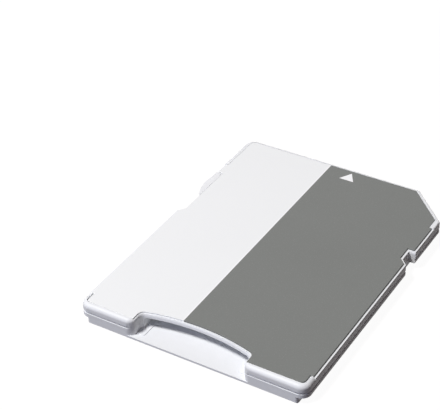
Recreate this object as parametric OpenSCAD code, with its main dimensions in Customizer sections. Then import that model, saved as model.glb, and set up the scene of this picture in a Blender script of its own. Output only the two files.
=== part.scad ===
// Memory card adapter: the outline of a full-size memory card, with a slot for a small one.
// The label faces +Z, the contact end is +Y and the finger cutaway is at -Y. Sizes in millimetres.

/* [Card form] */
// Width across the card
card_w = 24; // [20:0.5:29]
// Length from the rear edge to the contact end
card_l = 32; // [27:0.5:39]
// Thickness from the underside to the label
card_t = 2.1; // [2.05:0.05:2.6]
// Thickness of the guide rail along each side
rail_t = 1.4; // [1.3:0.05:1.45]
// Width of the step under each guide rail
rail_w = 0.85; // [0.6:0.05:1]
// Height of the rail below the joint between the shells
rail_low_t = 0.4; // [0.3:0.05:0.5]
// Length of the cut corner along each edge
corner_cut = 4; // [3:0.5:5]
// Radius of the three round corners in plan
corner_r = 1; // [0.6:0.1:1.3]
// Radius of the plinth's corners, inside the rails
plinth_r = 0.3; // [0.1:0.1:0.6]
// Radius of the rounded rear rim
rim_r = 0.45; // [0.3:0.05:0.5]
// Radius along the other upper edges
edge_r = 0.15; // [0.05:0.05:0.2]
// Radius under the upper shell's outer edge, along the seam
seam_r = 0.25; // [0.1:0.05:0.3]
// Thickness of the roof over the card slot
roof_t = 0.65; // [0.55:0.05:0.75]

/* [Side notch] */
// Distance from the contact end to the notch beside the cut corner
notch_start = 9.75; // [9:0.05:11]
// Length of the notch along the edge
notch_l = 2.15; // [1.8:0.05:3]
// Depth of the notch into the edge
notch_d = 0.68; // [0.5:0.02:0.8]

/* [Small card] */
// Width of the small card
small_w = 11; // [10.6:0.1:13.2]
// Length of the small card
small_l = 15; // [12.5:0.5:18]
// Amount by which its front part is narrower, on the keyed side
key_w = 1.3; // [1:0.1:1.6]
// Length of the narrow front part
key_l = 6.3; // [5.5:0.1:7.5]
// Running gap on each side of the small card
slot_gap = 0.08; // [0.04:0.01:0.12]
// Distance of the slot's middle from the card's middle
slot_x = -0.25; // [-0.5:0.05:0.5]
// Thickness of the floor under the slot
floor_t = 0.3; // [0.25:0.01:0.36]
// Height of the two runners that carry the small card
runner_h = 0.06; // [0.04:0.01:0.1]
// Width of each runner
runner_w = 0.6; // [0.4:0.05:0.8]

/* [Finger cutaway] */
// Depth at its middle
cut_depth = 2.45; // [2:0.05:3.2]
// Gap between the slot's side and the cutaway's wall
cut_shoulder = 0.22; // [0.1:0.02:0.4]
// Radius of the arched inner edge
arch_r = 21; // [15:1:40]
// Radius of its inner corners in plan
cut_r = 0.5; // [0.3:0.05:0.6]
// Radius of the corners at its mouth in plan
mouth_r = 0.75; // [0.5:0.05:1]
// Radius along its upper edge and the side notch
cut_edge_r = 0.4; // [0.2:0.05:0.4]
// Lead-in bevel under the arched edge
mouth_bevel = 0.1; // [0.05:0.01:0.12]

/* [Label] */
// Thickness of the label and depth of its recess
label_t = 0.15; // [0.08:0.01:0.16]
// Width of the rear rim behind the recess
rear_rim = 0.52; // [0.5:0.02:0.7]
// Width of the rim at the contact end
front_rim = 0.22; // [0.18:0.02:0.4]
// Width of the raised rims beside the corners
side_rim = 0.4; // [0.3:0.05:0.6]
// Width of the raised rim beside the cut corner
cut_side_rim = 0.5; // [0.4:0.05:1.2]
// Length of the raised rims at the rear corners
rear_rim_l = 1.75; // [1.3:0.05:3]
// Length of the raised rims at the front corners
front_rim_l = 5.4; // [4.8:0.05:6.5]
// Radius of the label's round corners
label_r = 0.5; // [0.2:0.1:0.8]
// Width of the ledge left beside the label
ledge_w = 0.25; // [0.1:0.01:0.3]
// Gap between the label and the raised rims beside the corners
label_gap = 0.18; // [0.05:0.01:0.2]
// Distance of the label from the cutaway's wall
arch_rim = 0.2; // [0.16:0.02:0.3]
// Width of the rim along the cut corner
corner_rim = 0.34; // [0.2:0.02:0.5]

/* [Lock slider] */
// Distance from the contact end to the recess
lock_start = 7.15; // [6:0.05:8]
// Length of the recess along the edge
lock_l = 7.8; // [7:0.1:9]
// Depth of the recess into the edge
lock_d = 0.66; // [0.5:0.02:0.8]
// Length of the slider's outer block
slider_l = 4.45; // [4:0.05:4.8]
// Travel of the slider
lock_travel = 2.4; // [1.5:0.1:2.4]
// Amount by which its grip stands proud
grip_h = 0.1; // [0:0.02:0.12]
// Length of the head that holds the slider inside the shells
head_l = 2.6; // [2:0.1:3.2]
// Width of the head
head_t = 0.35; // [0.3:0.05:0.4]
// Running gap around the slider
slider_gap = 0.04; // [0.03:0.01:0.06]

/* [Walls, posts and gaps] */
// Wall between the card's edge and the bay over the pads
side_wall = 0.9; // [0.8:0.05:1.1]
// Wall between the slot and the bays beside it
slot_wall = 0.6; // [0.5:0.05:0.8]
// Wall between the plinth's side and the bays
bay_wall = 0.75; // [0.6:0.05:1]
// Radius of the pins that locate and weld the shells
post_r = 0.42; // [0.35:0.01:0.5]
// Length of the pins below the joint
post_l = 0.45; // [0.3:0.05:0.5]
// Radius of the boss around each pin
boss_r = 0.95; // [0.8:0.05:1]
// Gap around each pin in its socket
post_gap = 0.02; // [0.01:0.01:0.04]
// Gap between seated or clamped pieces
fit = 0.03; // [0.02:0.01:0.04]

/* [Contacts] */
// Thickness of the terminals' sheet metal
sheet_t = 0.12; // [0.1:0.01:0.12]
// Pitch of the spring fingers
finger_pitch = 1.1; // [0.95:0.05:1.2]
// Width of each spring finger
finger_w = 0.5; // [0.4:0.05:0.55]
// Height of a finger's crest above the slot floor
finger_rise = 0.45; // [0.3:0.05:0.55]
// Distance of the first pad's middle from the side with the cut corner
first_pad_in = 3.125; // [3:0.05:3.4]
// Distance of the seventh pad's middle from the other side
wide_pad_in = 5.875; // [5.7:0.05:6.1]
// Distance of the last pad's middle from that side
last_pad_in = 1.75; // [1.6:0.05:1.9]
// Width of the last pad
last_pad_w = 1.2; // [1:0.05:1.3]
// Gap between wide pads
pad_gap = 0.6; // [0.5:0.05:0.8]
// Gap between the two narrow pads
narrow_gap = 0.2; // [0.15:0.05:0.3]
// Width of the leads where they join the pads
lead_w = 0.8; // [0.6:0.05:0.9]
// Length over which the leads fan out
fan_l = 7.2; // [5:0.1:7.2]
// Length of the windows under the pads
window_l = 5.2; // [4.5:0.1:5.6]
// Width by which a rib carries each edge of a pad
pad_lap = 0.15; // [0.1:0.01:0.2]
// Length of the carrier that clamps the fingers
carrier_l = 3; // [2.6:0.1:3.4]
// Height of the bridge's underside above the leads that it crosses
bridge_gap = 0.2; // [0.15:0.01:0.25]

/* [Detent spring] */
// Thickness of the leaf
leaf_t = 0.15; // [0.1:0.01:0.18]
// Length of the leaf's bay
leaf_l = 8.2; // [7:0.1:9]
// Width of the leaf's bay
leaf_bay_w = 1.4; // [1.2:0.05:1.5]
// Distance by which its bump reaches into the slot
bump_reach = 0.35; // [0.2:0.05:0.45]

/* [Hidden] */

$fn = 48;
lap = 0.2;      // overlap of a cutter past the face it opens
neck_l = 0.5;   // wall that the slider's neck passes through

side_x = card_w / 2;
rear_y = -card_l / 2;
front_y = card_l / 2;
rail_z = card_t - rail_t;
seam_z = rail_z + rail_low_t;
ceil_z = card_t - roof_t;
label_z = card_t - label_t;
plinth_x = side_x - rail_w;
cut_line = side_x + front_y - corner_cut;   // x + y along the cut corner

slot_hw = small_w / 2 + slot_gap;
slot_x0 = slot_x - slot_hw;
slot_x1 = slot_x + slot_hw;
stop_y = rear_y + small_l + 0.1;
key_y = stop_y - key_l;
cut_hw = slot_hw + cut_shoulder;
arch_y = rear_y + cut_depth;
arch_cy = arch_y - arch_r;
arch_span = asin((cut_hw - cut_r) / (arch_r - cut_r));   // half of the arch's angle
cut_cy = arch_cy + (arch_r - cut_r) * cos(arch_span);

rim_y0 = rear_y + rear_rim_l;
rim_y1 = front_y - front_rim_l;
lock_y = front_y - lock_start;
slider_y = lock_y - 0.05;
head_y = slider_y - 0.6;
notch_y1 = front_y - notch_start;
notch_y0 = notch_y1 - notch_l;

// The fingers stand under the small card's narrow front part, the first beside the cut corner.
function finger_x(k) = slot_x - key_w / 2 + finger_pitch * (4.5 - k);
pad_pitch = (card_w - first_pad_in - wide_pad_in) / 6;
pad_w = pad_pitch - pad_gap;
last_x = -side_x + last_pad_in;
narrow_x0 = last_x + last_pad_w / 2 + narrow_gap;
narrow_x1 = -side_x + wide_pad_in - pad_w / 2 - pad_gap;
// Middle and width of each pad, from the cut corner across.
PADS = [
    for (n = [0:6]) [side_x - first_pad_in - pad_pitch * n, pad_w],
    [(narrow_x0 + narrow_x1) / 2, narrow_x1 - narrow_x0],
    [last_x, last_pad_w]
];
// The pad that each terminal ends in, counted along PADS, and the pad that is bridged.
TERMINAL_PAD = [0, 1, 2, 4, 5, 6, 7, 8];
BRIDGED_PAD = 3;

window_y = front_y - window_l;
bay_x = side_x - side_wall;
bay_y = front_y - 0.8;
carrier_y = stop_y + carrier_l;
carrier_x0 = finger_x(8) - 0.85;
carrier_x1 = finger_x(1) + 0.85;
lead_z = rail_z + sheet_t;
fan_y1 = window_y - 0.9;
fan_y0 = max(carrier_y + 0.5, fan_y1 - fan_l);
pocket_z = floor_t - sheet_t - fit;
pocket_x0 = finger_x(8) - finger_w / 2 - 0.15;
pocket_x1 = finger_x(1) + finger_w / 2 + 0.15;
ramp_start = stop_y + 1.25;
// Where a line parallel to the 45 degree ramp and `off` above it passes the height z.
function ramp_y(z, off = 0) = ramp_start + z - pocket_z - off * sqrt(2);

leaf_x = slot_x1 + slot_wall;
bump_y = key_y - 1.15;
leaf_y0 = bump_y - leaf_l / 2;
leaf_y1 = bump_y + leaf_l / 2;
bay_x0 = slot_x0 - slot_wall - 0.1;
bay_x1 = leaf_x + leaf_bay_w + 0.5;
bay_out_x = plinth_x - bay_wall;
POSTS = [
    for (x = [(bay_x0 - bay_out_x) / 2, (bay_x1 + bay_out_x) / 2])
        for (y = [rear_y + 2.6, stop_y - 2]) [x, y]
];

/* Points along bent strips */
function unit(v) = v / norm(v);
function bend(a, b, c, r, n) =
    let (u = unit(a - b), v = unit(c - b), half = acos(u * v) / 2,
         d = r / tan(half), o = b + unit(u + v) * r / sin(half))
    [for (i = [0:n]) o + r * unit((b + u * d - o) * (1 - i / n) + (b + v * d - o) * i / n)];
function rounded(path, r, n = 4) = [
    path[0],
    for (i = [1:len(path) - 2]) each bend(path[i - 1], path[i], path[i + 1], r, n),
    path[len(path) - 1]
];
function normal(a, b) = let (u = unit(b - a)) [-u.y, u.x];
function miter(path, i) =
    i == 0 ? normal(path[0], path[1])
    : i == len(path) - 1 ? normal(path[i - 1], path[i])
    : let (m = normal(path[i - 1], path[i]), n = normal(path[i], path[i + 1])) (m + n) / (1 + m * n);
function strip(path, t) = [
    for (i = [0:len(path) - 1]) path[i] + miter(path, i) * t / 2,
    for (i = [len(path) - 1:-1:0]) path[i] - miter(path, i) * t / 2
];

/* Plan outlines */

// What a round corner removes from a square one whose tip is at the origin, material towards +X +Y.
module corner_waste(r) {
    difference() {
        translate([-lap, -lap]) square(r + lap);
        translate([r, r]) circle(r);
    }
}

// Card outline; `in` moves both sides inwards.
module card_plan(in, r) {
    x = side_x - in;
    difference() {
        translate([-x, rear_y]) square([2 * x, card_l]);
        translate([side_x, front_y]) rotate(-45)
            square([4 * card_w, corner_cut * sqrt(2)], center = true);
        translate([-x, rear_y]) corner_waste(r);
        translate([x, rear_y]) mirror([1, 0]) corner_waste(r);
        translate([-x, front_y]) mirror([0, 1]) corner_waste(r);
    }
}

// Finger cutaway, grown by g on every side.
module cutaway_plan(g) {
    tangent_x = (cut_hw - cut_r) * arch_r / (arch_r - cut_r);
    translate([slot_x, 0]) {
        intersection() {
            translate([0, arch_cy]) circle(arch_r + g, $fn = 200);
            translate([-tangent_x, rear_y - lap]) square([2 * tangent_x, 2 * cut_depth]);
        }
        translate([-cut_hw - g, rear_y - lap]) square([2 * (cut_hw + g), cut_cy - rear_y + lap]);
        for (s = [0, 1]) mirror([s, 0]) {
            translate([cut_hw - cut_r, cut_cy]) circle(cut_r + g);
            translate([cut_hw, rear_y]) corner_waste(mouth_r);
        }
    }
}

// Notch in the side of the cut corner, with its sloped near end.
module notch_plan(g) {
    polygon([
        [side_x + 1, notch_y1 + g], [side_x - notch_d - g, notch_y1 + g],
        [side_x - notch_d - g, notch_y0 + notch_d], [side_x, notch_y0 - g],
        [side_x + 1, notch_y0 - 1 - g]
    ]);
}

// Recess of the lock slider, with its sloped near end.
module lock_plan(g) {
    polygon([
        [-side_x - 1, lock_y + g], [-side_x + lock_d + g, lock_y + g],
        [-side_x + lock_d + g, lock_y - lock_l + lock_d], [-side_x, lock_y - lock_l - g],
        [-side_x - 1, lock_y - lock_l - 1 - g]
    ]);
}

// Recess or label: `g` is the gap beside the corners, `side` the place of the long sides between them.
module label_plan(g, side) {
    x = side_x - side_rim - g;
    xc = side_x - cut_side_rim - g / 4;
    y0 = rear_y + rear_rim + g / 6;
    y1 = front_y - front_rim - g / 4;
    s0 = rim_y0 + g / 4;
    s1 = rim_y1 - g / 4;
    line = cut_line - corner_rim * sqrt(2) - g / 4;
    difference() {
        polygon([
            [-x, y0], [x, y0], [x, s0], [side, s0], [side, s1], [xc, s1], [xc, line - xc],
            [line - y1, y1], [-x, y1], [-x, s1], [-side, s1], [-side, s0], [-x, s0]
        ]);
        translate([-x, y0]) corner_waste(label_r);
        translate([x, y0]) mirror([1, 0]) corner_waste(label_r);
        translate([-x, y1]) mirror([0, 1]) corner_waste(label_r);
    }
}

// Slot of the small card up to its end stop, keyed on the cut corner's side.
module slot_plan() {
    polygon([
        [slot_x0, rear_y - lap], [slot_x1, rear_y - lap], [slot_x1, key_y],
        [slot_x1 - key_w, key_y + key_w], [slot_x1 - key_w, stop_y + 0.01], [slot_x0, stop_y + 0.01]
    ]);
}

// Everything over the floor that the small card and a fingertip reach.
module open_plan() {
    cutaway_plan(0);
    slot_plan();
}

// Runners along both sides of the slot, which start just inside the rear edge.
module runners_plan() {
    y0 = rear_y + 0.7;
    translate([slot_x0 - 0.5, y0]) square([0.5 + runner_w, stop_y - y0]);
    translate([slot_x1 - runner_w, y0]) square([0.5 + runner_w, key_y - y0]);
}

// Bay of the carrier, the fan of leads and the pads; `in` narrows it.
module fan_bay_plan(in) {
    x = bay_x - in;
    y1 = bay_y - in;
    x0 = carrier_x0 - 0.1 + in;
    x1 = carrier_x1 + 0.1 - in;
    line = cut_line - (side_wall + in) * sqrt(2);
    // On the slider's side the bay stays clear of the slider's head.
    neck_x = -side_x + lock_d + neck_l + 1 + in;
    polygon([
        [x0, stop_y - 0.01], [x1, stop_y - 0.01], [x1, fan_y0 - 0.5], [x, fan_y1], [x, line - x],
        [line - y1, y1], [-x, y1], [-x, fan_y1], [neck_x, head_y + 0.5], [x0, fan_y0 - 0.5]
    ]);
}

// Plain bays beside the slot, which keep the mouldings even in thickness.
module side_bays_plan() {
    y0 = rear_y + 0.9;
    translate([-bay_out_x, y0]) square([bay_out_x + bay_x0, stop_y - 0.6 - y0]);
    translate([bay_x1, y0]) square([bay_out_x - bay_x1, stop_y - y0]);
}

// Bay of the leaf spring, and the opening for its bump.
module leaf_bay_plan() {
    translate([leaf_x, leaf_y0]) square([leaf_bay_w, leaf_y1 - leaf_y0]);
    translate([leaf_x - slot_wall - lap, bump_y - 1]) square([slot_wall + 2 * lap, 2]);
    for (y = [leaf_y0 - 0.5, leaf_y1 - 0.1])
        translate([leaf_x + leaf_bay_w - 0.5, y]) square([leaf_t + 2 * fit, 0.6]);
}

/* Rounding of upper edges */

// Section that a rounding removes: the sharp edge is at the origin, material towards +X -Y.
module edge_section(r) {
    difference() {
        translate([-lap, -r]) square(r + lap);
        translate([r, -r]) circle(r);
    }
}

// Straight rounding: from [x, y] it runs along -Y turned by `a`, material on its left.
module edge_line(p, a, l, r) {
    translate([p.x, p.y, card_t]) rotate([0, 0, a]) rotate([90, 0, 0]) linear_extrude(l) edge_section(r);
}

// Rounding around a corner of radius big; the material is inside it, or outside if `hollow`.
module edge_arc(p, big, a, span, r, hollow = false) {
    translate([p.x, p.y, card_t]) rotate([0, 0, a]) rotate_extrude(angle = span, $fn = hollow ? 200 : 48)
        translate([big, 0]) mirror([hollow ? 0 : 1, 0]) edge_section(r);
}

module outer_roundings() {
    cx = side_x - corner_r;
    rear_cy = rear_y + corner_r;
    front_cy = front_y - corner_r;
    edge_line([-cx, rear_y], 90, 2 * cx, rim_r);
    edge_arc([-cx, rear_cy], corner_r, 180, 90, rim_r);
    edge_arc([cx, rear_cy], corner_r, 270, 90, rim_r);
    for (s = [0, 1]) mirror([s, 0, 0]) {
        edge_line([side_x, rear_cy], 180, rim_y0 - rear_cy, rim_r);
        edge_line([side_x, rim_y0], 180, rim_y1 - rim_y0, label_t + edge_r);
    }
    edge_line([-side_x, front_cy], 0, front_cy - rim_y1, edge_r);
    edge_arc([-cx, front_cy], corner_r, 90, 90, edge_r);
    // Around the cut corner the roundings lap a hair over each other, and the slanted one is a hair deeper.
    edge_line([side_x, rim_y1], 180, front_y - corner_cut - rim_y1 + 0.01, edge_r);
    edge_line([side_x, front_y - corner_cut], 225, corner_cut * sqrt(2), edge_r + 0.01);
    edge_line([side_x - corner_cut + 0.01, front_y], 270, card_w - corner_cut - corner_r + 0.01, edge_r);
}

// Rounding of the upper shell's lower outer edge, along the seam.
module seam_roundings() {
    cx = side_x - corner_r;
    rear_cy = rear_y + corner_r;
    front_cy = front_y - corner_r;
    translate([0, 0, card_t + seam_z]) mirror([0, 0, 1]) {
        edge_line([-cx, rear_y], 90, 2 * cx, seam_r);
        edge_arc([-cx, rear_cy], corner_r, 180, 90, seam_r);
        edge_arc([cx, rear_cy], corner_r, 270, 90, seam_r);
        edge_line([-side_x, front_cy], 0, front_cy - rear_cy, seam_r);
        edge_arc([-cx, front_cy], corner_r, 90, 90, seam_r);
        edge_line([side_x, rear_cy], 180, front_y - corner_cut - rear_cy + 0.01, seam_r);
        edge_line([side_x, front_y - corner_cut], 225, corner_cut * sqrt(2), seam_r + 0.01);
        edge_line([side_x - corner_cut + 0.01, front_y], 270, card_w - corner_cut - corner_r + 0.01, seam_r);
    }
}

// The corners are rounded a hair deeper and lap over the arch and the sides, so the cutters join cleanly.
module cutaway_roundings() {
    a = arch_span + 0.05;
    translate([slot_x, 0]) {
        edge_arc([0, arch_cy], arch_r, 90 - a, 2 * a, cut_edge_r, true);
        for (s = [0, 1]) mirror([s, 0, 0]) {
            edge_arc([cut_hw - cut_r, cut_cy], cut_r, 0, 93 - arch_span, cut_edge_r + 0.01, true);
            edge_line([cut_hw, cut_cy + 0.02], 0, cut_cy + 0.02 - rear_y - mouth_r, cut_edge_r);
            edge_arc([cut_hw + mouth_r, rear_y + mouth_r], mouth_r, 180, 90, cut_edge_r);
        }
    }
}

// Rounding over the notch's wall towards the contact end.
module notch_rounding() {
    edge_line([side_x - notch_d, notch_y1], 90, notch_d + 1, cut_edge_r);
}

// Lead-in bevel along the lower edge of the arch.
module arch_bevel() {
    r0 = arch_r - lap;
    r1 = arch_r + mouth_bevel + lap;
    translate([slot_x, arch_cy, ceil_z]) rotate([0, 0, 90 - arch_span])
        rotate_extrude(angle = 2 * arch_span, $fn = 200)
            polygon([[r0, -lap], [r1, -lap], [r0, mouth_bevel + lap]]);
}

/* Shells */

module edge_cuts() {
    cutaway_plan(0);
    notch_plan(0);
    lock_plan(0);
}

// Cavity of the slider's neck and head, on both sides of the joint between the shells.
module slider_bay() {
    y0 = head_y - head_l - lock_travel - 0.1;
    l = head_y + 0.1 - y0;
    x0 = -side_x + lock_d;
    translate([x0 - lap, y0, seam_z - 0.2]) cube([neck_l + 2 * lap, l, 0.4]);
    translate([x0 + neck_l, y0, seam_z - 0.3]) cube([head_t + 0.15, l, 0.6]);
}

module top_shell() {
    color("white") {
        difference() {
            translate([0, 0, seam_z]) linear_extrude(card_t - seam_z) difference() {
                card_plan(0, corner_r);
                edge_cuts();
            }
            outer_roundings();
            seam_roundings();
            cutaway_roundings();
            notch_rounding();
            arch_bevel();
            translate([0, 0, label_z]) linear_extrude(1) label_plan(0, side_x + 1);
            translate([0, 0, seam_z - lap]) linear_extrude(ceil_z - seam_z + lap) {
                slot_plan();
                fan_bay_plan(0);
                side_bays_plan();
                leaf_bay_plan();
            }
            slider_bay();
        }
        hold_down_ribs();
        for (p = POSTS) translate([p.x, p.y, 0]) {
            translate([0, 0, seam_z]) cylinder(h = ceil_z - seam_z + 0.1, r = boss_r);
            translate([0, 0, seam_z - post_l]) cylinder(h = post_l + 0.1, r = post_r);
        }
    }
}

// Two ribs that press the pads of the terminals onto the bottom shell.
module hold_down_ribs() {
    z = lead_z + fit;
    for (y = [window_y + 0.9, bay_y - 0.9])
        translate([0, 0, z]) linear_extrude(ceil_z - z + 0.1) intersection() {
            fan_bay_plan(0.05);
            translate([-card_w, y - 0.25]) square([2 * card_w, 0.5]);
        }
}

module bottom_shell() {
    color("whitesmoke") difference() {
        union() {
            linear_extrude(rail_z) card_plan(rail_w, plinth_r);
            translate([0, 0, rail_z]) linear_extrude(rail_low_t) difference() {
                card_plan(0, corner_r);
                edge_cuts();
            }
        }
        translate([0, 0, floor_t + runner_h]) linear_extrude(card_t) open_plan();
        translate([0, 0, floor_t]) linear_extrude(card_t) {
            difference() {
                open_plan();
                runners_plan();
            }
            leaf_bay_plan();
        }
        translate([0, 0, rail_z]) linear_extrude(card_t) fan_bay_plan(0);
        translate([0, 0, floor_t + 0.1]) linear_extrude(card_t) difference() {
            side_bays_plan();
            for (p = POSTS) translate(p) circle(boss_r);
        }
        finger_pocket();
        pad_windows();
        slider_bay();
        for (p = POSTS) translate([p.x, p.y, seam_z - post_l - 0.05])
            cylinder(h = card_t, r = post_r + post_gap);
        lower_bevels();
    }
}

// Pocket for the spring fingers, and the ramp that their leads and the carrier lie on.
module finger_pocket() {
    y0 = stop_y - 3.9;
    translate([pocket_x0, y0, pocket_z])
        cube([pocket_x1 - pocket_x0, ramp_y(pocket_z) - y0, floor_t - pocket_z + 0.1]);
    profile_x(carrier_x0 - 0.1, carrier_x1 + 0.1) polygon([
        [stop_y - 0.05, floor_t], [ramp_y(floor_t), floor_t], [ramp_y(rail_z + lap), rail_z + lap],
        [stop_y - 0.05, rail_z + lap]
    ]);
    profile_x(pocket_x0, pocket_x1) polygon([
        [stop_y, pocket_z], [ramp_y(pocket_z), pocket_z], [ramp_y(floor_t), floor_t], [stop_y, floor_t]
    ]);
}

// Solid from x0 to x1 whose section is drawn as (y, z).
module profile_x(x0, x1) {
    translate([x0, 0, 0]) rotate([90, 0, 90]) linear_extrude(x1 - x0) children();
}

// Windows under the pads, open to the contact end.
module pad_windows() {
    for (p = PADS) {
        w = p[1] - 2 * pad_lap;
        translate([p[0] - w / 2, window_y, -lap]) cube([w, window_l + lap, rail_z + lap]);
    }
}

// Lead-in bevel under the contact end, and a small one under the rear edge.
module lower_bevels() {
    for (e = [[front_y, -1, 0.35], [rear_y, 1, 0.08]]) {
        y = e[0];
        in = e[1];
        bevel = e[2];
        profile_x(-card_w, card_w) polygon([
            [y + in * bevel, 0], [y, bevel], [y - in * lap, bevel],
            [y - in * lap, -lap], [y + in * bevel, -lap]
        ]);
    }
}

module label() {
    color("gray") translate([0, 0, label_z]) linear_extrude(label_t) difference() {
        label_plan(label_gap, side_x - ledge_w);
        cutaway_plan(arch_rim);
        notch_plan(ledge_w);
        lock_plan(ledge_w);
    }
}

/* Contacts */

// Side view of a spring finger: flat under the carrier, down the ramp, then up to its crest.
function finger_path() =
    let (
        off = fit + sheet_t / 2,
        z0 = rail_z + sheet_t / 2,
        z1 = pocket_z + off,
        crest = floor_t + finger_rise - sheet_t / 2
    )
    rounded([
        [fan_y0, z0], [ramp_y(z0, off), z0], [ramp_y(z1, off), z1], [stop_y - 0.2, z1],
        [stop_y - 2.4, crest], [stop_y - 2.9, crest - 0.12], [stop_y - 3.3, crest - 0.35]
    ], 0.12);

module finger(k) {
    profile_x(finger_x(k) - finger_w / 2, finger_x(k) + finger_w / 2)
        polygon(strip(finger_path(), sheet_t));
}

// Flat lead that spreads from the finger to its pad, and the pad.
module lead_and_pad(k) {
    pad = PADS[TERMINAL_PAD[k - 1]];
    x = finger_x(k);
    w = finger_w / 2;
    translate([0, 0, rail_z]) linear_extrude(sheet_t) {
        polygon([
            [x - w, fan_y0 - lap], [x + w, fan_y0 - lap], [x + w, fan_y0],
            [pad[0] + lead_w / 2, fan_y1], [pad[0] + lead_w / 2, window_y],
            [pad[0] - lead_w / 2, window_y], [pad[0] - lead_w / 2, fan_y1], [x - w, fan_y0]
        ]);
        pad_plan(pad);
    }
}

// Contact pad with clipped corners, which follows the bay beside the cut corner.
module pad_plan(pad) {
    h = pad[1] / 2;
    y0 = window_y - pad_lap;
    c = 0.2;
    intersection() {
        fan_bay_plan(0.1);
        translate([pad[0], 0]) polygon([
            [-h, y0 + c], [c - h, y0], [h - c, y0], [h, y0 + c],
            [h, bay_y - 0.1 - c], [h - c, bay_y - 0.1], [c - h, bay_y - 0.1], [-h, bay_y - 0.1 - c]
        ]);
    }
}

module terminal(k) {
    color("goldenrod") {
        finger(k);
        lead_and_pad(k);
    }
}

// The ground terminal: a raised bridge carries its lead over two neighbours to a second pad.
module ground_terminal(k) {
    first = PADS[TERMINAL_PAD[k - 1]];
    second = PADS[BRIDGED_PAD];
    z0 = rail_z + sheet_t / 2;
    z1 = z0 + sheet_t + bridge_gap;
    y = fan_y1 + 0.05;
    path = rounded([
        [first[0] + 0.3, z0], [first[0] + 0.75, z0], [first[0] + 1.1, z1],
        [second[0] - 1.1, z1], [second[0] - 0.75, z0], [second[0] - 0.3, z0]
    ], 0.12);
    terminal(k);
    color("goldenrod") {
        translate([0, 0, rail_z]) linear_extrude(sheet_t) {
            translate([second[0] - lead_w / 2, y]) square([lead_w, window_y - y]);
            pad_plan(second);
        }
        translate([0, y + 0.7, 0]) rotate([90, 0, 0]) linear_extrude(0.7) polygon(strip(path, sheet_t));
    }
}

// Moulded bar over the terminals: its rear face is the end stop of the slot.
module contact_carrier() {
    top = ceil_z - fit;
    off = sheet_t + 2 * fit;
    color("dimgray") {
        profile_x(carrier_x0, carrier_x1) polygon([
            [stop_y, floor_t + fit], [ramp_y(floor_t + fit, off), floor_t + fit],
            [ramp_y(lead_z + fit, off), lead_z + fit], [carrier_y - 0.1, lead_z + fit],
            [carrier_y - 0.1, top], [stop_y + 0.15, top], [stop_y, top - 0.15]
        ]);
        comb_teeth();
    }
}

// Teeth between the leads, which keep their spacing.
module comb_teeth() {
    y0 = ramp_y(rail_z) + 0.1;
    w = finger_pitch - finger_w - 0.16;
    for (k = [1:7])
        translate([finger_x(k + 0.5) - w / 2, y0, rail_z + fit])
            cube([w, carrier_y - 0.4 - y0, sheet_t + 0.1]);
}

// Bent leaf: its ends stand in the bay's corners and its bump reaches into the slot.
module detent_spring() {
    x_end = leaf_x + leaf_bay_w - 0.5 + fit + leaf_t / 2;
    x_tip = slot_x1 - bump_reach + leaf_t / 2;
    x_mid = leaf_x + 0.35;
    z = floor_t + runner_h + fit;
    path = rounded([
        [x_end, leaf_y0 - 0.4], [x_end, leaf_y0 + 0.6], [x_mid, bump_y - 1.1], [x_tip, bump_y - 0.3],
        [x_tip, bump_y + 0.3], [x_mid, bump_y + 1.1], [x_end, leaf_y1 - 0.6], [x_end, leaf_y1 + 0.4]
    ], 0.2);
    color("silver") translate([0, 0, z]) linear_extrude(ceil_z - fit - z) polygon(strip(path, leaf_t));
}

/* Lock slider */

// Outer block with its swelling grip; the neck and the head hold it in the shells.
module lock_slider() {
    x_in = -side_x + lock_d - slider_gap;
    x_out = -side_x;
    y0 = slider_y - slider_l;
    z0 = rail_z + slider_gap;
    x_head = x_in + neck_l + 2 * slider_gap;
    color("white") {
        translate([0, 0, z0]) linear_extrude(card_t - slider_gap - z0) polygon(rounded([
            [x_in, slider_y], [x_out, slider_y], [x_out, slider_y - 0.7], [x_out - grip_h, slider_y - 1.5],
            [x_out - grip_h, y0 + 2.1], [x_out + 0.06, y0 + 1.2], [x_in - 0.2, y0 + 0.25], [x_in, y0]
        ], 0.15));
        translate([x_in - 0.1, head_y - head_l, seam_z - 0.15])
            cube([x_head - x_in + 0.2, head_l, 0.3]);
        translate([x_head, head_y - head_l, seam_z - 0.25]) cube([head_t, head_l, 0.5]);
    }
}

bottom_shell();
contact_carrier();
terminal(1);  // terminal_1
terminal(2);  // terminal_2
terminal(3);  // terminal_3
terminal(4);  // terminal_4
terminal(5);  // terminal_5
ground_terminal(6);  // terminal_6
terminal(7);  // terminal_7
terminal(8);  // terminal_8
detent_spring();
lock_slider();
top_shell();
label();
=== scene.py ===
"""Memory card adapter on a pale studio floor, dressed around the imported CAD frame.

Every piece keeps the place and the size that the frame gives it. The shells, the label, the lock
slider and the contacts are merged copies of the CAD nodes, with the fine edges of moulded and
stamped pieces, and each carries a procedural finish that reads Object coordinates in metres.
"""

from __future__ import annotations

import logging
import math
import sys
from collections.abc import Callable
from dataclasses import dataclass, field
from enum import Enum

import bmesh
import bpy
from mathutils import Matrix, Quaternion, Vector

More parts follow.
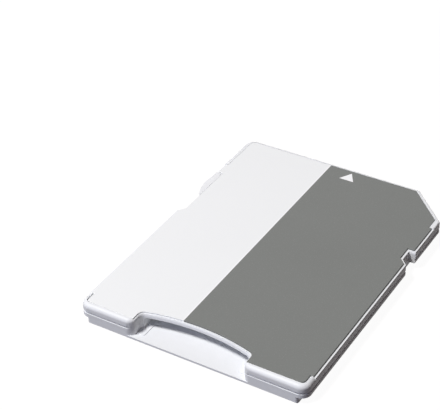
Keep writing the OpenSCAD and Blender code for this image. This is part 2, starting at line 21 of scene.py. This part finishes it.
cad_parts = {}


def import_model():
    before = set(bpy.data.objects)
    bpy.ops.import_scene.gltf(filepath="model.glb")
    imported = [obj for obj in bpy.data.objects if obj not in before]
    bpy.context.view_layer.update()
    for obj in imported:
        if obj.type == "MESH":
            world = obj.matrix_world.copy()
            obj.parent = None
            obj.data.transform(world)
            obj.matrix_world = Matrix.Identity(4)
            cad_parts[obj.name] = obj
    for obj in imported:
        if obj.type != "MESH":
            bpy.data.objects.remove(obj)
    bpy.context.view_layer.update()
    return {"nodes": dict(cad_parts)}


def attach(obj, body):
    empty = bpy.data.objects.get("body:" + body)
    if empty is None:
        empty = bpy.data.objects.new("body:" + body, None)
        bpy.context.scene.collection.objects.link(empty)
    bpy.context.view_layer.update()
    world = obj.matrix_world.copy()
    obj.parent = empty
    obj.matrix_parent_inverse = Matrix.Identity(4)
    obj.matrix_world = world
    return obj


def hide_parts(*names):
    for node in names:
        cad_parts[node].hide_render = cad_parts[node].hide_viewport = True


MM = 0.001
log = logging.getLogger("adapter")

Colour = tuple[float, float, float]
Point = tuple[float, float, float]
Socket = bpy.types.NodeSocket
EdgeTest = Callable[[Vector, Vector], bool]
PointTest = Callable[[Vector], bool]


class Slot(Enum):
    """Material slots of the record."""

    SHELL = "shell"
    LABEL = "label"
    SLIDER = "slider"
    CARRIER = "carrier"
    TERMINAL = "terminal"
    SPRING = "spring"


class Body(Enum):
    """Bodies of the frame that a piece can ride on."""

    ADAPTER = "adapter"
    LOCK_SLIDER = "lock_slider"


class Lay(Enum):
    """Direction in which a rubbed or rolled surface is marked."""

    ALONG = (1.0, 0.04, 1.0)
    ACROSS = (0.04, 1.0, 1.0)


# ---------------------------------------------------------------------------------------------
# Node sketching


@dataclass
class Sketch:
    """A node tree that is being filled, with short calls for the nodes that the finishes use."""

    tree: bpy.types.NodeTree

    def add(self, kind: str, inputs: dict[str | int, object] | None = None, **settings: object) -> bpy.types.Node:
        """Adds one node.

        Args:
            kind: Blender's name of the node type.
            inputs: Values or sockets by input name or number.
            settings: Properties of the node.

        Returns:
            The new node.
        """
        node = self.tree.nodes.new(kind)
        for key, value in settings.items():
            setattr(node, key, value)
        for key, value in (inputs or {}).items():
            self.feed(node.inputs[key], value)
        return node

    def feed(self, socket: Socket, value: object) -> None:
        """Links a socket, or sets a plain value, on an input.

        Args:
            socket: The input.
            value: A socket to link, a number or a colour of three or four numbers.
        """
        if isinstance(value, bpy.types.NodeSocket):
            self.tree.links.new(value, socket)
        elif isinstance(value, tuple) and socket.type == "RGBA" and len(value) == 3:
            socket.default_value = (*value, 1.0)
        else:
            socket.default_value = value

    def math(self, operation: str, a: object, b: object = 0.0, clamp: bool = False) -> Socket:
        """Adds a Math node.

        Args:
            operation: Blender's name of the operation.
            a: First number or socket.
            b: Second number or socket.
            clamp: Whether the result is kept between 0 and 1.

        Returns:
            The result.
        """
        return self.add("ShaderNodeMath", {0: a, 1: b}, operation=operation, use_clamp=clamp).outputs[0]

    def mix(self, factor: object, a: object, b: object) -> Socket:
        """Mixes two colours.

        Args:
            factor: Share of the second colour.
            a: First colour or socket.
            b: Second colour or socket.

        Returns:
            The mixed colour.
        """
        node = self.add("ShaderNodeMix", data_type="RGBA")
        self.feed(node.inputs[0], factor)
        self.feed(node.inputs[6], a)
        self.feed(node.inputs[7], b)
        return node.outputs[2]

    def ramp(self, value: object, low: float, high: float, to_low: float = 0.0, to_high: float = 1.0) -> Socket:
        """Maps a range of a value onto another range, and clamps it there.

        Args:
            value: The value that is mapped.
            low: Value that gives to_low.
            high: Value that gives to_high.
            to_low: Result at the low end.
            to_high: Result at the high end.

        Returns:
            The mapped value.
        """
        node = self.add(
            "ShaderNodeMapRange",
            {"Value": value, "From Min": low, "From Max": high, "To Min": to_low, "To Max": to_high},
            interpolation_type="SMOOTHSTEP",
        )
        return node.outputs["Result"]

    def place(self) -> Socket:
        """Returns the Object coordinates of the surface, in metres."""
        return self.add("ShaderNodeTexCoord").outputs["Object"]

    def noise(self, vector: Socket, size: float, detail: float = 2.0, stretch: Point = (1.0, 1.0, 1.0)) -> Socket:
        """Adds a noise whose blobs have a stated size.

        Args:
            vector: Coordinates that it reads, in metres.
            size: Size of its blobs in millimetres.
            detail: Octaves of finer noise.
            stretch: Factors on the three coordinates; a small one draws the blobs out that way.

        Returns:
            The noise, about 0.5 on average.
        """
        mapping = self.add("ShaderNodeMapping", {"Vector": vector, "Scale": stretch})
        node = self.add(
            "ShaderNodeTexNoise",
            {"Vector": mapping.outputs[0], "Scale": 1.0 / (size * MM), "Detail": detail, "Roughness": 0.55},
        )
        return node.outputs[0]


def effect_group(name: str, inputs: dict[str, float | Colour], outputs: tuple[str, ...]) -> tuple[
    bpy.types.ShaderNodeTree, bpy.types.Node, bpy.types.Node
]:
    """Starts a shader node group.

    Args:
        name: Name of the group.
        inputs: Its inputs with their first values, a colour where the value has three numbers.
        outputs: Its outputs; one named Colour is a colour, and the rest are numbers.

    Returns:
        The group, its input node and its output node.
    """
    group = bpy.data.node_groups.new(name, "ShaderNodeTree")
    for key, value in inputs.items():
        coloured = isinstance(value, tuple)
        socket = group.interface.new_socket(
            name=key, in_out="INPUT", socket_type="NodeSocketColor" if coloured else "NodeSocketFloat"
        )
        socket.default_value = (*value, 1.0) if coloured else value
    for key in outputs:
        kind = "NodeSocketColor" if key == "Colour" else "NodeSocketFloat"
        group.interface.new_socket(name=key, in_out="OUTPUT", socket_type=kind)
    return group, group.nodes.new("NodeGroupInput"), group.nodes.new("NodeGroupOutput")


def tone_drift_group() -> bpy.types.ShaderNodeTree:
    """Makes the slow drift of tone that every moulded, printed and plated surface has.

    Returns:
        A group that takes a colour and an amount, and gives the drifting colour.
    """
    group, start, end = effect_group("tone_drift", {"Colour": (0.8, 0.8, 0.8), "Amount": 0.03}, ("Colour",))
    s = Sketch(group)
    place = s.place()
    wide = s.noise(place, 9.0, 1.0)
    close = s.noise(place, 1.6, 3.0)
    drift = s.math("ADD", s.math("MULTIPLY", wide, 0.7), s.math("MULTIPLY", close, 0.3))
    shade = s.math("ADD", s.math("MULTIPLY", s.math("SUBTRACT", drift, 0.5), start.outputs["Amount"]), 1.0)
    value = s.add("ShaderNodeHueSaturation", {"Color": start.outputs["Colour"], "Value": shade})
    s.feed(end.inputs["Colour"], value.outputs[0])
    return group


def mould_grain_group() -> bpy.types.ShaderNodeTree:
    """Makes the fine eroded grain that a mould leaves on its mouldings.

    Returns:
        A group that takes the size of the grain, and gives its height and a mask of its dull specks.
    """
    group, start, end = effect_group("mould_grain", {"Grains per metre": 12000.0}, ("Height", "Specks"))
    s = Sketch(group)
    place = s.place()
    cells = s.add("ShaderNodeTexVoronoi", {"Vector": place, "Scale": start.outputs["Grains per metre"]})
    fine = s.add("ShaderNodeTexNoise", {"Vector": place, "Scale": start.outputs["Grains per metre"], "Detail": 3.0})
    s.feed(end.inputs["Height"], s.math("ADD", s.math("MULTIPLY", cells.outputs[0], 0.5), fine.outputs[0]))
    s.feed(end.inputs["Specks"], s.ramp(fine.outputs[0], 0.56, 0.70))
    return group


def rub_marks_group() -> bpy.types.ShaderNodeTree:
    """Makes fine straight marks, as rolling or the sliding of a card leaves them.

    Returns:
        A group that gives marks along Y and along X, 0 where the surface is untouched.
    """
    group, _, end = effect_group("rub_marks", {}, ("Along", "Across"))
    s = Sketch(group)
    place = s.place()
    for key, lay in (("Along", Lay.ALONG), ("Across", Lay.ACROSS)):
        lines = s.noise(place, 0.06, 2.0, lay.value)
        patches = s.noise(place, 2.5, 1.0)
        s.feed(end.inputs[key], s.math("MULTIPLY", s.ramp(lines, 0.52, 0.72), s.ramp(patches, 0.42, 0.62)))
    return group


@dataclass
class Effects:
    """The shared effects, each made once and placed in every material that uses it."""

    tone_drift: bpy.types.ShaderNodeTree = field(default_factory=tone_drift_group)
    mould_grain: bpy.types.ShaderNodeTree = field(default_factory=mould_grain_group)
    rub_marks: bpy.types.ShaderNodeTree = field(default_factory=rub_marks_group)

    @staticmethod
    def put(s: Sketch, group: bpy.types.ShaderNodeTree, inputs: dict[str, object]) -> bpy.types.Node:
        """Places a group in a material.

        Args:
            s: The material's sketch.
            group: The shared group.
            inputs: The values that this material gives it.

        Returns:
            The group's node.
        """
        node = s.add("ShaderNodeGroup", node_tree=group)
        for key, value in inputs.items():
            s.feed(node.inputs[key], value)
        return node


def start_material(name: str, show: Colour) -> tuple[bpy.types.Material, Sketch, bpy.types.Node]:
    """Starts a material with one Principled shader.

    Args:
        name: Name of the material.
        show: Colour that stands for it in solid view.

    Returns:
        The material, its sketch and its shader.
    """
    material = bpy.data.materials.new(name)
    material.use_nodes = True
    material.diffuse_color = (*show, 1.0)
    material.node_tree.nodes.clear()
    s = Sketch(material.node_tree)
    shader = s.add("ShaderNodeBsdfPrincipled")
    output = s.add("ShaderNodeOutputMaterial")
    s.feed(output.inputs["Surface"], shader.outputs[0])
    return material, s, shader


# ---------------------------------------------------------------------------------------------
# Finishes


@dataclass(frozen=True)
class MouldedPlastic:
    """Satin moulded plastic with eroded grain.

    Attributes:
        name: Name of the material.
        tone: Colour of the plastic.
        drift: Amount by which its tone drifts.
        roughness: Roughness between the dull specks.
        grain: Grains per metre.
        depth: Depth of the grain in millimetres.
        gloss: Specular level.
    """

    name: str
    tone: Colour
    drift: float = 0.03
    roughness: float = 0.48
    grain: float = 12000.0
    depth: float = 0.004
    gloss: float = 0.35

    def material(self, effects: Effects) -> bpy.types.Material:
        """Builds the material.

        Args:
            effects: The shared effects.

        Returns:
            The finished material.
        """
        material, s, shader = start_material(self.name, self.tone)
        tone = effects.put(s, effects.tone_drift, {"Colour": self.tone, "Amount": self.drift})
        grain = effects.put(s, effects.mould_grain, {"Grains per metre": self.grain})
        s.feed(shader.inputs["Base Color"], tone.outputs["Colour"])
        rough = s.math("ADD", s.math("MULTIPLY", grain.outputs["Specks"], 0.12), self.roughness)
        s.feed(shader.inputs["Roughness"], rough)
        shader.inputs["Specular IOR Level"].default_value = self.gloss
        bump = s.add(
            "ShaderNodeBump", {"Strength": 0.35, "Distance": self.depth * MM, "Height": grain.outputs["Height"]}
        )
        s.feed(shader.inputs["Normal"], bump.outputs[0])
        return material


@dataclass(frozen=True)
class PrintedFilm:
    """Laminated label film: a white field, a grey field, a bare hairline between them and an arrow.

    Attributes:
        name: Name of the material.
        white: Colour of the white field.
        grey: Colour of the grey field.
        film: Colour of the bare film, at the hairline, in the arrow and between the grey ink's dots.
        border: X of the border between the fields, in millimetres.
        hairline: Width of the bare line along it.
        arrow: Base centre, half width and height of the arrow, in millimetres.
    """

    name: str = "printed_film"
    white: Colour = (0.900, 0.912, 0.920)
    grey: Colour = (0.189, 0.196, 0.187)
    film: Colour = (0.97, 0.97, 0.98)
    border: float = -2.12
    hairline: float = 0.14
    arrow: tuple[float, float, float, float] = (0.57, 14.04, 0.80, 1.33)

    def arrow_mask(self, s: Sketch, x: Socket, y: Socket) -> Socket:
        """Draws the insertion arrow.

        Args:
            s: The material's sketch.
            x: X in millimetres.
            y: Y in millimetres.

        Returns:
            A mask that is 1 inside the arrow.
        """
        middle, foot, half, height = self.arrow
        slope = math.hypot(half, height)
        across = s.math("ABSOLUTE", s.math("SUBTRACT", x, middle))
        up = s.math("SUBTRACT", y, foot)
        # Distance inside the slanted sides, which meet at the tip.
        side = s.math(
            "SUBTRACT", half * height / slope,
            s.math("ADD", s.math("MULTIPLY", across, height / slope), s.math("MULTIPLY", up, half / slope)),
        )
        return s.math("MULTIPLY", s.ramp(side, -0.015, 0.015), s.ramp(up, -0.015, 0.015))

    def material(self, effects: Effects) -> bpy.types.Material:
        """Builds the material.

        Args:
            effects: The shared effects.

        Returns:
            The finished material.
        """
        material, s, shader = start_material(self.name, self.grey)
        parts = s.add("ShaderNodeSeparateXYZ", {"Vector": s.place()})
        x = s.math("MULTIPLY", parts.outputs["X"], 1.0 / MM)
        y = s.math("MULTIPLY", parts.outputs["Y"], 1.0 / MM)
        grain = effects.put(s, effects.mould_grain, {"Grains per metre": 9000.0})
        rubs = effects.put(s, effects.rub_marks, {})
        grey = effects.put(s, effects.tone_drift, {"Colour": self.grey, "Amount": 0.10})
        white = effects.put(s, effects.tone_drift, {"Colour": self.white, "Amount": 0.02})
        # Grey ink stands a little lighter where its dots leave the film bare.
        inked = s.mix(s.math("MULTIPLY", grain.outputs["Specks"], 0.05), grey.outputs["Colour"], self.film)
        from_border = s.math("SUBTRACT", x, self.border)
        field_mask = s.ramp(from_border, -0.01, 0.01)
        line = s.ramp(s.math("ABSOLUTE", from_border), self.hairline / 2, self.hairline / 2 + 0.02, 1.0, 0.0)
        colour = s.mix(field_mask, white.outputs["Colour"], inked)
        colour = s.mix(line, colour, self.film)
        colour = s.mix(self.arrow_mask(s, x, y), colour, self.film)
        s.feed(shader.inputs["Base Color"], colour)
        dull = s.math("MULTIPLY", rubs.outputs["Along"], 0.10)
        s.feed(shader.inputs["Roughness"], s.math("ADD", s.math("ADD", dull, 0.46), s.math("MULTIPLY", field_mask, 0.04)))
        shader.inputs["Specular IOR Level"].default_value = 0.35
        bump = s.add("ShaderNodeBump", {"Strength": 0.2, "Distance": 0.002 * MM, "Height": grain.outputs["Height"]})
        s.feed(shader.inputs["Normal"], bump.outputs[0])
        return material


@dataclass(frozen=True)
class PlatedMetal:
    """Rolled or plated sheet metal with fine marks.

    Attributes:
        name: Name of the material.
        tone: Colour of the metal.
        worn: Colour where sliding has rubbed it.
        roughness: Roughness between the marks.
        lay: Direction of its marks.
    """

    name: str
    tone: Colour
    worn: Colour
    roughness: float = 0.24
    lay: Lay = Lay.ALONG

    def material(self, effects: Effects) -> bpy.types.Material:
        """Builds the material.

        Args:
            effects: The shared effects.

        Returns:
            The finished material.
        """
        material, s, shader = start_material(self.name, self.tone)
        tone = effects.put(s, effects.tone_drift, {"Colour": self.tone, "Amount": 0.12})
        marks = effects.put(s, effects.rub_marks, {}).outputs["Along" if self.lay is Lay.ALONG else "Across"]
        s.feed(shader.inputs["Base Color"], s.mix(s.math("MULTIPLY", marks, 0.5), tone.outputs["Colour"], self.worn))
        s.feed(shader.inputs["Roughness"], s.math("ADD", s.math("MULTIPLY", marks, 0.22), self.roughness))
        shader.inputs["Metallic"].default_value = 1.0
        bump = s.add("ShaderNodeBump", {"Strength": 0.3, "Distance": 0.002 * MM, "Height": marks})
        s.feed(shader.inputs["Normal"], bump.outputs[0])
        return material


WHITE_SHELL = MouldedPlastic("white_shell", (0.838, 0.850, 0.870))
WHITE_SLIDER = MouldedPlastic("white_slider", (0.87, 0.88, 0.90), roughness=0.42, grain=16000.0)
BLACK_CARRIER = MouldedPlastic("black_carrier", (0.030, 0.030, 0.033), drift=0.15, roughness=0.55, depth=0.006)
GOLD_PLATE = PlatedMetal("gold_plate", (0.83, 0.60, 0.22), (0.72, 0.55, 0.28))
SPRING_STEEL = PlatedMetal("spring_steel", (0.60, 0.60, 0.60), (0.48, 0.48, 0.49), 0.30, Lay.ACROSS)


# ---------------------------------------------------------------------------------------------
# Pieces


def alone(piece: bpy.types.Object) -> None:
    """Makes a piece the one selected and active object."""
    bpy.ops.object.select_all(action="DESELECT")
    piece.select_set(True)
    bpy.context.view_layer.objects.active = piece


@dataclass(frozen=True)
class EdgeFinish:
    """How the edges of a copied piece are broken.

    Attributes:
        radius: Radius of the broken edges in millimetres.
        segments: Facets around each.
        sharp: Angle in degrees from which an edge is broken.
    """

    radius: float = 0.03
    segments: int = 2
    sharp: float = 40.0


def settle_normals(piece: bpy.types.Object) -> None:
    """Shades a piece smoothly over its roundings and keeps its flat faces flat."""
    alone(piece)
    bpy.ops.object.shade_smooth_by_angle(angle=math.radians(35))
    weighted = piece.modifiers.new("flat_faces_flat", "WEIGHTED_NORMAL")
    weighted.mode = "FACE_AREA"
    weighted.keep_sharp = True
    bpy.ops.object.modifier_apply(modifier=weighted.name)


def round_chosen_edges(piece: bpy.types.Object, chosen: EdgeTest, radius: float, segments: int) -> None:
    """Rounds the edges that a test picks by their place.

    Args:
        piece: The piece.
        chosen: Test that takes an edge's two ends in millimetres.
        radius: Width taken off each side of the edge, in millimetres.
        segments: Facets around it.
    """
    alone(piece)
    bpy.ops.object.mode_set(mode="EDIT")
    bpy.ops.mesh.select_mode(type="EDGE")
    bpy.ops.mesh.select_all(action="DESELECT")
    cage = bmesh.from_edit_mesh(piece.data)
    picked = 0
    for edge in cage.edges:
        a, b = (v.co / MM for v in edge.verts)
        if edge.is_manifold and chosen(a, b):
            edge.select_set(True)
            picked += 1
    bmesh.update_edit_mesh(piece.data)
    bpy.ops.mesh.bevel(offset_type="OFFSET", offset=radius * MM, segments=segments, affect="EDGES", clamp_overlap=False)
    bpy.ops.object.mode_set(mode="OBJECT")
    log.info("%s: %d edges rounded by %.2f mm", piece.name, picked, radius)


def shift_chosen_points(piece: bpy.types.Object, chosen: PointTest, shift: Point) -> None:
    """Moves the points that a test picks by their place.

    Args:
        piece: The piece.
        chosen: Test that takes a point in millimetres.
        shift: The move in millimetres.
    """
    alone(piece)
    bpy.ops.object.mode_set(mode="EDIT")
    bpy.ops.mesh.select_mode(type="VERT")
    bpy.ops.mesh.select_all(action="DESELECT")
    cage = bmesh.from_edit_mesh(piece.data)
    picked = 0
    for point in cage.verts:
        if chosen(point.co / MM):
            point.select_set(True)
            picked += 1
    bmesh.update_edit_mesh(piece.data)
    bpy.ops.transform.translate(value=tuple(Vector(shift) * MM))
    bpy.ops.object.mode_set(mode="OBJECT")
    log.info("%s: %d points moved", piece.name, picked)


@dataclass
class Workshop:
    """Turns CAD nodes into finished pieces.

    Attributes:
        nodes: The frame's CAD objects by name.
        effects: The shared effects.
        made: Materials made so far, by name.
    """

    nodes: dict[str, bpy.types.Object]
    effects: Effects
    made: dict[str, bpy.types.Material] = field(default_factory=dict)

    def finish(self, kind: MouldedPlastic | PrintedFilm | PlatedMetal) -> bpy.types.Material:
        """Returns the material of a finish, made on its first use.

        Args:
            kind: The finish.

        Returns:
            Its material.
        """
        if kind.name not in self.made:
            self.made[kind.name] = kind.material(self.effects)
        return self.made[kind.name]

    def copy(
        self,
        node: str,
        name: str,
        kind: MouldedPlastic | PrintedFilm | PlatedMetal,
        slot: Slot,
        edges: EdgeFinish | None,
        body: Body = Body.ADAPTER,
    ) -> bpy.types.Object:
        """Makes a merged copy of a CAD node, breaks its edges and dresses it.

        Args:
            node: Name of the CAD node.
            name: Name of the new piece.
            kind: Its finish.
            slot: The record's material slot that it stands for; not used.
            edges: How its edges are broken, or None where they stay sharp.
            body: Body that it rides on.

        Returns:
            The new piece.
        """
        piece = bpy.data.objects.new(name, self.nodes[node].data.copy())
        piece.data.name = name
        bpy.context.scene.collection.objects.link(piece)
        alone(piece)
        bpy.ops.mesh.customdata_custom_splitnormals_clear()
        bpy.ops.object.mode_set(mode="EDIT")
        bpy.ops.mesh.select_all(action="SELECT")
        bpy.ops.mesh.remove_doubles(threshold=0.001 * MM)
        bpy.ops.mesh.dissolve_limited(angle_limit=math.radians(0.2))
        bpy.ops.object.mode_set(mode="OBJECT")
        if edges:
            broken = piece.modifiers.new("broken_edges", "BEVEL")
            broken.limit_method = "ANGLE"
            broken.angle_limit = math.radians(edges.sharp)
            broken.width = edges.radius * MM
            broken.segments = edges.segments
            broken.use_clamp_overlap = False
            bpy.ops.object.modifier_apply(modifier=broken.name)
        settle_normals(piece)
        piece.data.materials.clear()
        piece.data.materials.append(self.finish(kind))
        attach(piece, body.value)
        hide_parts(node)
        log.info("%s: %d faces from %s", name, len(piece.data.polygons), node)
        return piece


@dataclass
class Shells:
    """The two moulded halves of the housing."""

    shop: Workshop
    half_width: float = 12.0
    rail_z: float = 0.7
    seam_z: float = 1.1
    rail_edge: float = 0.08
    seam_edge: float = 0.06

    def on_outline(self, a: Vector, b: Vector, z: float) -> bool:
        """Tells whether an edge lies on the straight sides of the card at a height.

        Args:
            a: One end in millimetres.
            b: The other end.
            z: The height.

        Returns:
            True for an edge along either long side.
        """
        level = abs(a.z - z) < 0.005 and abs(b.z - z) < 0.005
        return level and all(abs(abs(v.x) - self.half_width) < 0.005 for v in (a, b))

    def build(self) -> None:
        """Makes both shells, and eases the long edges of the lower one."""
        self.shop.copy("top_shell", "upper_shell", WHITE_SHELL, Slot.SHELL, None)
        lower = self.shop.copy("bottom_shell", "lower_shell", WHITE_SHELL, Slot.SHELL, None)
        round_chosen_edges(lower, lambda a, b: self.on_outline(a, b, self.rail_z), self.rail_edge, 3)
        round_chosen_edges(lower, lambda a, b: self.on_outline(a, b, self.seam_z), self.seam_edge, 2)
        settle_normals(lower)


@dataclass
class Label:
    """The thin printed sheet in the recess of the upper shell."""

    shop: Workshop
    film: PrintedFilm = PrintedFilm()
    rim_side: tuple[float, float] = (-11.5, -10.8)
    rim_from: float = 10.4
    rim_reach: float = 0.165
    lock_side: tuple[float, float] = (-11.12, -11.06)
    lock_span: tuple[float, float] = (1.6, 9.2)
    lock_reach: float = 0.21
    step_y: float = 9.1
    step_reach: float = 0.19

    def beside_rim(self, point: Vector) -> bool:
        """Tells whether a point lies on the edge beside the raised rim at the far left corner."""
        return self.rim_side[0] < point.x < self.rim_side[1] and point.y > self.rim_from

    def beside_lock(self, point: Vector) -> bool:
        """Tells whether a point lies on the edge beside the slider's recess."""
        return self.lock_side[0] < point.x < self.lock_side[1] and self.lock_span[0] < point.y < self.lock_span[1]

    def on_step(self, point: Vector) -> bool:
        """Tells whether a point lies on the short edge in front of that recess."""
        return point.x < self.rim_side[1] and abs(point.y - self.step_y) < 0.05

    def build(self) -> None:
        """Makes the label, laid close against its neighbours on the left, where the photograph shows no gap."""
        label = self.shop.copy("label", "printed_label", self.film, Slot.LABEL, EdgeFinish(0.015, 1))
        shift_chosen_points(label, self.beside_rim, (-self.rim_reach, 0.0, 0.0))
        shift_chosen_points(label, self.beside_lock, (-self.lock_reach, 0.0, 0.0))
        shift_chosen_points(label, self.on_step, (0.0, -self.step_reach, 0.0))


@dataclass
class LockSlider:
    """The write-protect slider, which moves by itself."""

    shop: Workshop
    edges: EdgeFinish = EdgeFinish(0.02, 2)
    inner_x: tuple[float, float] = (-11.41, -11.37)
    inner_reach: float = 0.03

    def build(self) -> None:
        """Makes the slider, with its inner face brought close to the shell's wall."""
        slider = self.shop.copy("lock_slider", "write_slider", WHITE_SLIDER, Slot.SLIDER, self.edges, Body.LOCK_SLIDER)
        low, high = self.inner_x
        shift_chosen_points(slider, lambda point: low < point.x < high, (self.inner_reach, 0.0, 0.0))


@dataclass
class Contacts:
    """The spring terminals, their carrier and the leaf that holds the small card."""

    shop: Workshop
    count: int = 8
    sheet_edges: EdgeFinish = EdgeFinish(0.015, 1)

    def build(self) -> None:
        """Makes the terminals, the carrier and the leaf."""
        for k in range(1, self.count + 1):
            self.shop.copy(f"terminal_{k}", f"plated_terminal_{k}", GOLD_PLATE, Slot.TERMINAL, self.sheet_edges)
        self.shop.copy("contact_carrier", "carrier_bar", BLACK_CARRIER, Slot.CARRIER, EdgeFinish(0.03, 1))
        self.shop.copy("detent_spring", "detent_leaf", SPRING_STEEL, Slot.SPRING, self.sheet_edges)


# ---------------------------------------------------------------------------------------------
# Studio


@dataclass(frozen=True)
class PhotoCamera:
    """The camera at the photograph's place, found by fitting the outline's corners.

    Attributes:
        target: Point that it looks at, in millimetres.
        distance: Distance from there, in millimetres.
        azimuth: Angle around Z, 0 along +Y.
        elevation: Angle above the horizon.
        roll: Turn about the line of sight.
        lens: Focal length for a sensor 36 mm wide.
    """

    target: Point = (-9.381, 5.127, 1.0)
    distance: float = 144.14
    azimuth: float = 31.998
    elevation: float = 35.226
    roll: float = -1.635
    lens: float = 114.57

    def build(self) -> bpy.types.Object:
        """Makes the camera and gives it to the scene.

        Returns:
            The camera.
        """
        a, e = math.radians(self.azimuth), math.radians(self.elevation)
        back = Vector((math.sin(a) * math.cos(e), -math.cos(a) * math.cos(e), math.sin(e)))
        data = bpy.data.cameras.new("photo_camera")
        data.lens = self.lens
        data.sensor_width = 36.0
        data.sensor_fit = "HORIZONTAL"
        data.clip_start, data.clip_end = 0.005, 10.0
        camera = bpy.data.objects.new("photo_camera", data)
        camera.location = (Vector(self.target) + back * self.distance) * MM
        camera.rotation_mode = "QUATERNION"
        level = (-back).to_track_quat("-Z", "Y")
        camera.rotation_quaternion = level @ Quaternion((0.0, 0.0, 1.0), math.radians(self.roll))
        bpy.context.scene.collection.objects.link(camera)
        bpy.context.scene.camera = camera
        axes = camera.rotation_quaternion.to_matrix()
        log.info("camera right %s up %s", tuple(axes.col[0]), tuple(axes.col[1]))
        return camera


@dataclass(frozen=True)
class Softbox:
    """One soft area lamp that shines at the middle of the adapter.

    Attributes:
        name: Name of the lamp.
        towards: Direction from the adapter to the lamp.
        distance: Distance in metres.
        size: Side of the square lamp in metres.
        level: Light on a surface that faces it, 1 shows a colour as written.
        colour: Colour of the light.
    """

    name: str
    towards: Point
    distance: float
    size: float
    level: float
    colour: Colour = (1.0, 1.0, 1.0)

    def build(self) -> None:
        """Makes the lamp."""
        aim = Vector(self.towards).normalized()
        data = bpy.data.lights.new(self.name, "AREA")
        data.shape = "SQUARE"
        data.size = self.size
        data.color = self.colour
        data.energy = self.level * math.pi**2 * self.distance**2
        lamp = bpy.data.objects.new(self.name, data)
        lamp.location = aim * self.distance
        lamp.rotation_mode = "QUATERNION"
        lamp.rotation_quaternion = (-aim).to_track_quat("-Z", "Y")
        bpy.context.scene.collection.objects.link(lamp)


@dataclass(frozen=True)
class Studio:
    """Pale floor, soft lamps and an even surround.

    Attributes:
        floor_side: Side of the floor in metres.
        floor_drop: Gap between the floor and the adapter's underside in millimetres.
        surround: Colour of the surround's light.
        surround_level: Its strength on the adapter.
        floor_tone: Colour that the floor gives back to the adapter.
        floor_glow: Brightness that the camera sees on the floor besides its own light.
        lamps: The soft lamps.
    """

    floor_side: float = 4.0
    floor_drop: float = 0.01
    surround: Colour = (1.0, 0.76, 0.74)
    surround_level: float = 0.052
    floor_tone: Colour = (0.09, 0.08, 0.08)
    floor_glow: float = 0.95
    lamps: tuple[Softbox, ...] = (
        Softbox("key", (-0.30, -0.38, 0.87), 0.6, 0.13, 1.03, (1.0, 0.995, 0.99)),
        Softbox("rear_fill", (-0.30, -0.92, 0.25), 0.6, 0.40, 0.11, (0.30, 0.45, 1.0)),
        Softbox("under_fill", (-0.35, 0.60, -0.72), 0.6, 0.20, 0.70),
    )

    def floor(self) -> None:
        """Makes the floor, which the camera sees as white with the adapter's soft shadow."""
        bpy.ops.object.select_all(action="DESELECT")
        bpy.ops.mesh.primitive_plane_add(size=self.floor_side, location=(0.0, 0.0, -self.floor_drop * MM))
        floor = bpy.context.object
        floor.name = "floor"
        bpy.ops.object.transform_apply(location=True, rotation=True, scale=True)
        material = bpy.data.materials.new("pale_floor")
        material.use_nodes = True
        material.node_tree.nodes.clear()
        s = Sketch(material.node_tree)
        rays = s.add("ShaderNodeLightPath")
        seen = s.math("ADD", rays.outputs["Is Camera Ray"], rays.outputs["Is Glossy Ray"], clamp=True)
        seen = s.math("ADD", seen, rays.outputs["Is Transmission Ray"], clamp=True)
        diffuse = s.add("ShaderNodeBsdfDiffuse", {"Color": self.floor_tone})
        glow = s.add("ShaderNodeEmission", {"Color": (1.0, 1.0, 1.0), "Strength": s.math("MULTIPLY", seen, self.floor_glow)})
        both = s.add("ShaderNodeAddShader")
        s.feed(both.inputs[0], diffuse.outputs[0])
        s.feed(both.inputs[1], glow.outputs[0])
        # The floor is clear from below, and for the lamp under it, so the underside can be looked at.
        below = s.add("ShaderNodeNewGeometry").outputs["Backfacing"]
        sides = s.add(
            "ShaderNodeMixShader",
            {
                0: s.math("ADD", below, rays.outputs["Is Shadow Ray"], clamp=True),
                1: both.outputs[0],
                2: s.add("ShaderNodeBsdfTransparent").outputs[0],
            },
        )
        output = s.add("ShaderNodeOutputMaterial")
        s.feed(output.inputs["Surface"], sides.outputs[0])
        floor.data.materials.append(material)

    def world(self) -> None:
        """Makes the surround: white to the camera, and a low even light on the adapter."""
        world = bpy.data.worlds.new("surround")
        world.use_nodes = True
        world.node_tree.nodes.clear()
        s = Sketch(world.node_tree)
        rays = s.add("ShaderNodeLightPath")
        seen = s.math("ADD", rays.outputs["Is Camera Ray"], rays.outputs["Is Glossy Ray"], clamp=True)
        seen = s.math("ADD", seen, rays.outputs["Is Transmission Ray"], clamp=True)
        light = s.add("ShaderNodeBackground", {"Color": self.surround, "Strength": self.surround_level})
        white = s.add("ShaderNodeBackground", {"Color": (1.0, 1.0, 1.0), "Strength": 1.0})
        both = s.add("ShaderNodeMixShader", {0: seen, 1: light.outputs[0], 2: white.outputs[0]})
        output = s.add("ShaderNodeOutputWorld")
        s.feed(output.inputs["Surface"], both.outputs[0])
        bpy.context.scene.world = world

    def build(self) -> None:
        """Makes the floor, the surround and the lamps."""
        self.floor()
        self.world()
        for lamp in self.lamps:
            lamp.build()
        bpy.context.scene.view_settings.view_transform = "Standard"
        log.info("studio with %d lamps", len(self.lamps))


def main() -> None:
    """Builds the scene in order: frame, camera, pieces, studio."""
    logging.basicConfig(level=logging.INFO, format="%(name)s %(message)s", stream=sys.stdout)
    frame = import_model()
    PhotoCamera().build()
    shop = Workshop(frame["nodes"], Effects())
    for group in (Shells(shop), Label(shop), LockSlider(shop), Contacts(shop)):
        group.build()
    Studio().build()
    bpy.context.view_layer.update()


if __name__ == "__main__":
    main()
